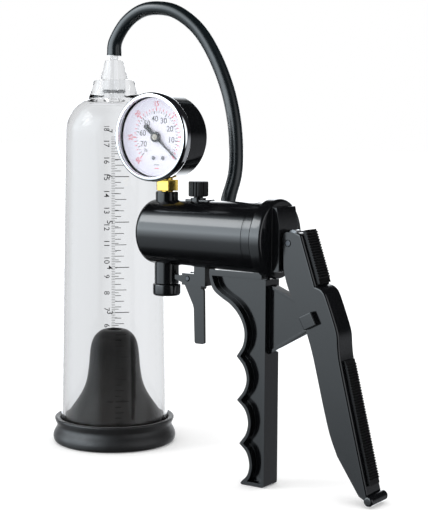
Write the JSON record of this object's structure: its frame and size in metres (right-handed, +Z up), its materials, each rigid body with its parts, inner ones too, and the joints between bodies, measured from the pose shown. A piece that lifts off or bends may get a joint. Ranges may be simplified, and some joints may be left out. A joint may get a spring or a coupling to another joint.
{
  "type": "hand vacuum pump",
  "caption": "Pistol-grip hand vacuum pump with a round dial gauge, release trigger and squeeze lever, joined by a rubber hose to a clear graduated chamber on a rubber ring.",
  "frame": {"origin": "middle of the flat foot of the grip handle, at the height of the surface that the pump and chamber stand on", "axes": "+X along the barrel from the nose to the lever, +Z up, -Y the side that the gauge faces"},
  "size_m": [0.2288, 0.0896, 0.2532],
  "materials": {
    "gloss_black": "polished moulding with a soft grey sheen",
    "rubber_black": "matte",
    "soft_grey": "soft, slightly see-through, satin",
    "clear_acrylic": "clear moulded plastic",
    "clear_glass": "clear flat window",
    "hose_rubber": "smooth satin with a cool sheen",
    "chrome_trim": "polished",
    "brass_fitting": "machined, bright",
    "steel": "drawn, satin",
    "dial_white": "printed card, satin",
    "needle_black": "satin",
    "nylon": "moulded"
  },
  "bodies": {
    "pump": {"chamber_tube": "clear_acrylic", "hose_coupling": "clear_acrylic", "coupling_seal": "rubber_black", "base_ring": "rubber_black", "soft_cone": "soft_grey", "hose": "hose_rubber", "barrel": "gloss_black", "grip_handle": "gloss_black", "end_cap": "gloss_black", "rod_bush": "nylon", "return_spring": "steel", "port_cap": "gloss_black", "port_valve": "rubber_black", "hose_elbow": "gloss_black", "gauge_case": "gloss_black", "gauge_bezel": "chrome_trim", "gauge_window": "clear_glass", "gauge_dial": "dial_white", "dial_screw_left": "steel", "dial_screw_right": "steel", "gauge_movement": "brass_fitting", "bourdon_tube": "brass_fitting", "gauge_stem": "brass_fitting", "trigger_pin": "steel", "lever_pivot_pin": "steel"},
    "lever": {"lever": "gloss_black", "rod_pin": "steel", "upper_pad": "gloss_black", "lower_pad": "gloss_black", "pivot_block": "gloss_black"},
    "piston": {"piston_rod": "steel", "piston": "nylon", "piston_seal": "rubber_black"},
    "needle": {"gauge_needle": "needle_black"},
    "trigger": {"release_trigger": "gloss_black"},
    "knob": {"bleed_knob": "gloss_black"}
  },
  "joints": [
    {"name": "lever_squeeze", "type": "hinge", "parent": "pump", "child": "lever", "pos_m": [0.0342, 0, 0.0893], "axis": [0, 1, 0], "range_deg": [0, 20], "stiffness_Nm_per_rad": 0.8},
    {"name": "piston_slide", "type": "slide", "parent": "pump", "child": "piston", "axis": [1, 0, 0], "range_m": [0, 0.0139], "deforming": ["return_spring"]},
    {"name": "needle_turn", "type": "hinge", "parent": "pump", "child": "needle", "pos_m": [-0.0593, 0, 0.1784], "axis": [0, -1, 0], "range_deg": [0, 265], "stiffness_Nm_per_rad": 0.0005},
    {"name": "trigger_pull", "type": "hinge", "parent": "pump", "child": "trigger", "pos_m": [-0.0423, 0, 0.1044], "axis": [0, -1, 0], "range_deg": [0, 8], "stiffness_Nm_per_rad": 0.05},
    {"name": "knob_turn", "type": "hinge", "parent": "pump", "child": "knob", "pos_m": [-0.0389, 0, 0.15], "axis": [0, 0, 1], "range_deg": [0, 270]}
  ],
  "couplings": [
    {"joint": "piston_slide", "follows": "lever_squeeze", "m_per_rad": 0.0394}
  ]
}
